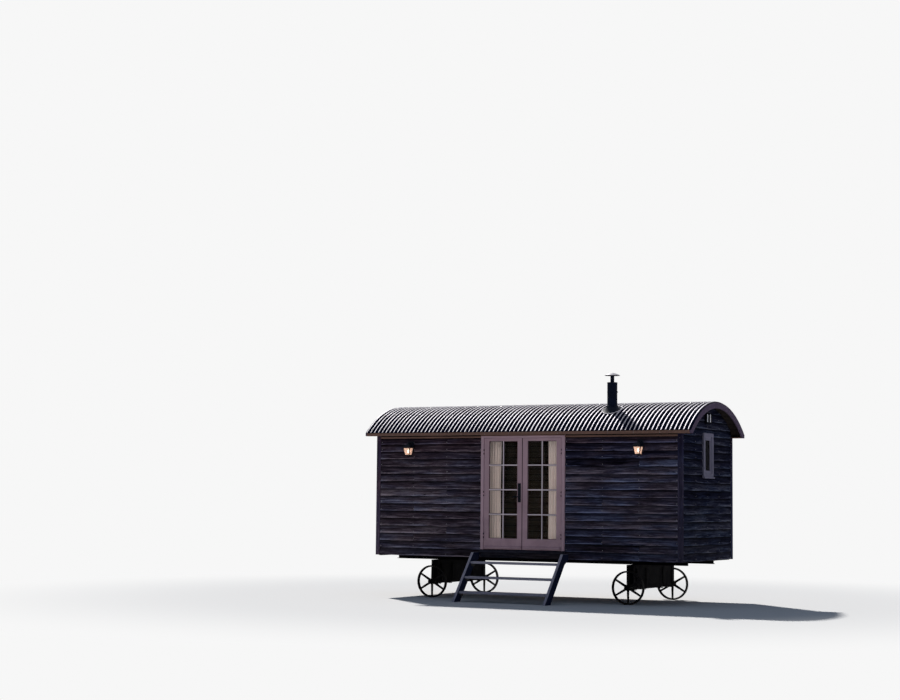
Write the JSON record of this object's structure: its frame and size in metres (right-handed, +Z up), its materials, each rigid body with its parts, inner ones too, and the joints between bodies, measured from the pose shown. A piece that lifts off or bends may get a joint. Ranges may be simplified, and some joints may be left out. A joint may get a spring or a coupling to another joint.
{
  "type": "shepherds hut",
  "caption": "Timber cabin on spoked cast wheels with an arched corrugated roof, lapped board walls, hinged glazed double doors, front steps, wall lanterns and a roof flue",
  "frame": {"origin": "on the ground under the middle of the whole outline, steps and eaves included", "axes": "+X runs along the front from the left end to the right end, +Y from the front to the back, +Z up"},
  "size_m": [5.9436, 3.27, 3.729],
  "materials": {
    "chassis_steel": "black chassis paint, dusty",
    "cast_wheel": "rough black cast iron with worn treads",
    "structure_timber": "plain sawn softwood",
    "wall_lining": "plain varnished board lining",
    "weathered_boards": "rough sawn boards weathered to grey brown",
    "board_trim": "dark weathered sawn timber",
    "galvanised_sheet": "dull galvanised corrugated sheet",
    "taupe_paint": "taupe eggshell paint on timber",
    "black_metal": "satin black paint on metal",
    "clear_glass": "clear window glass",
    "lamp_glass": "warm lit lantern glass",
    "step_timber": "blue grey stained timber",
    "curtain_cloth": "cream woven cloth"
  },
  "bodies": {
    "hut": {"chassis_rails": "chassis_steel", "floor_bearers": "structure_timber", "left_axle": "chassis_steel", "right_axle": "chassis_steel", "floor": "structure_timber", "front_wall_left": "wall_lining", "front_wall_right": "wall_lining", "front_wall_header": "wall_lining", "back_wall": "wall_lining", "left_end_wall": "wall_lining", "right_end_wall": "wall_lining", "front_boards_left": "weathered_boards", "front_boards_right": "weathered_boards", "back_boards": "weathered_boards", "left_end_boards": "weathered_boards", "right_end_boards": "weathered_boards", "corner_boards": "board_trim", "skirt_board": "board_trim", "roof_deck_front_low": "structure_timber", "roof_deck_front_high": "structure_timber", "roof_deck_back_high": "structure_timber", "roof_deck_back_low": "structure_timber", "roof_sheets": "galvanised_sheet", "eaves_front": "taupe_paint", "eaves_back": "taupe_paint", "bargeboard_left": "taupe_paint", "bargeboard_right": "taupe_paint", "door_frame": "taupe_paint", "threshold": "taupe_paint", "door_hinges": "black_metal", "end_windows": "taupe_paint", "window_glass": "clear_glass", "gable_lights": "black_metal", "lanterns": "black_metal", "lantern_glass": "lamp_glass", "flue_pipe": "black_metal", "flue_cap": "black_metal", "flue_flashing": "black_metal", "step_stringers": "step_timber", "step_treads": "step_timber", "curtain_pole": "black_metal", "curtain_left": "curtain_cloth", "curtain_right": "curtain_cloth"},
    "left_door": {"door_left": "taupe_paint", "door_left_glass": "clear_glass", "door_handle": "black_metal"},
    "right_door": {"door_right": "taupe_paint", "door_right_glass": "clear_glass"},
    "front_left_wheel": {"wheel_front_left": "cast_wheel"},
    "front_right_wheel": {"wheel_front_right": "cast_wheel"},
    "back_left_wheel": {"wheel_back_left": "cast_wheel"},
    "back_right_wheel": {"wheel_back_right": "cast_wheel"}
  },
  "joints": [
    {"name": "left_door_hinge", "type": "hinge", "parent": "hut", "child": "left_door", "pos_m": [-0.7085, -0.786, 1.75], "axis": [0, 0, -1], "range_deg": [0, 105]},
    {"name": "right_door_hinge", "type": "hinge", "parent": "hut", "child": "right_door", "pos_m": [0.7085, -0.786, 1.75], "axis": [0, 0, 1], "range_deg": [0, 105]},
    {"name": "front_left_wheel_spin", "type": "hinge", "parent": "hut", "child": "front_left_wheel", "pos_m": [-1.79, -0.565, 0.27], "axis": [0, 1, 0], "continuous": true},
    {"name": "front_right_wheel_spin", "type": "hinge", "parent": "hut", "child": "front_right_wheel", "pos_m": [1.79, -0.565, 0.27], "axis": [0, 1, 0], "continuous": true},
    {"name": "back_left_wheel_spin", "type": "hinge", "parent": "hut", "child": "back_left_wheel", "pos_m": [-1.79, 1.335, 0.27], "axis": [0, 1, 0], "continuous": true},
    {"name": "back_right_wheel_spin", "type": "hinge", "parent": "hut", "child": "back_right_wheel", "pos_m": [1.79, 1.335, 0.27], "axis": [0, 1, 0], "continuous": true}
  ]
}
